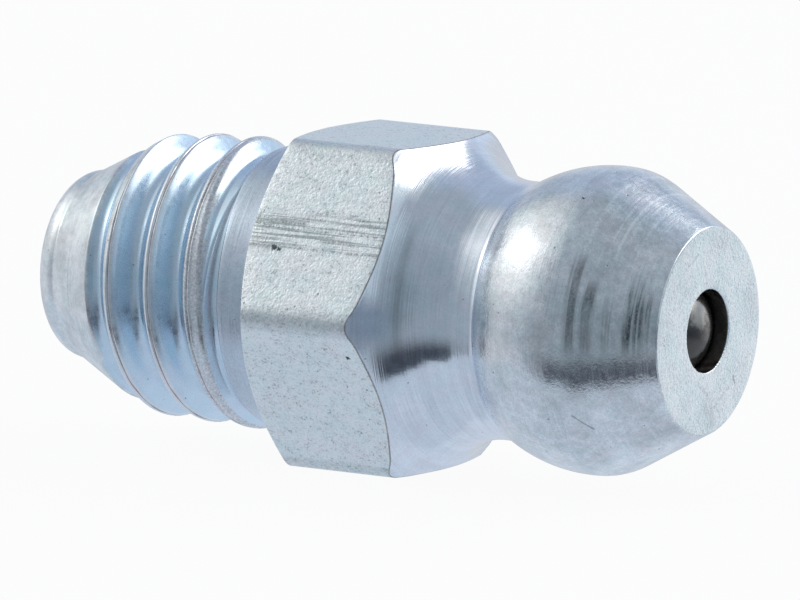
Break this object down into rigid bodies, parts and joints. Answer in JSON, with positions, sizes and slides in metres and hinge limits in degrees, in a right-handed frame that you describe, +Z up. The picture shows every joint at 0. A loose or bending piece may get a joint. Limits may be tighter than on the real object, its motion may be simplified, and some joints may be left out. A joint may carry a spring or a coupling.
{
  "type": "grease nipple",
  "caption": "Straight hydraulic grease nipple: short taper thread, hexagon, necked ball head with a conical nose, and a sprung check ball behind the inlet.",
  "frame": {"origin": "centre of the seat, the hexagon's face towards the thread, on the nipple's axis", "axes": "+X along the nipple's axis towards the nose, +Z up; the nipple lies on the hexagon's flat that faces -Z"},
  "size_m": [0.0154, 0.008, 0.007],
  "materials": {
    "zinc_plate": "turned steel, zinc plated and blue passivated, semi-bright with fine turning marks",
    "ball_steel": "ground bearing steel, bright, filmed with oil",
    "spring_steel": "drawn spring wire, grey and oiled"
  },
  "bodies": {
    "nipple": {"body": "zinc_plate", "spring": "spring_steel"},
    "ball": {"check_ball": "ball_steel"}
  },
  "joints": [
    {"name": "ball_slide", "type": "slide", "parent": "nipple", "child": "ball", "axis": [-1, 0, 0], "range_m": [0, 0.001], "stiffness_N_per_m": 1250, "deforming": ["spring"]}
  ]
}
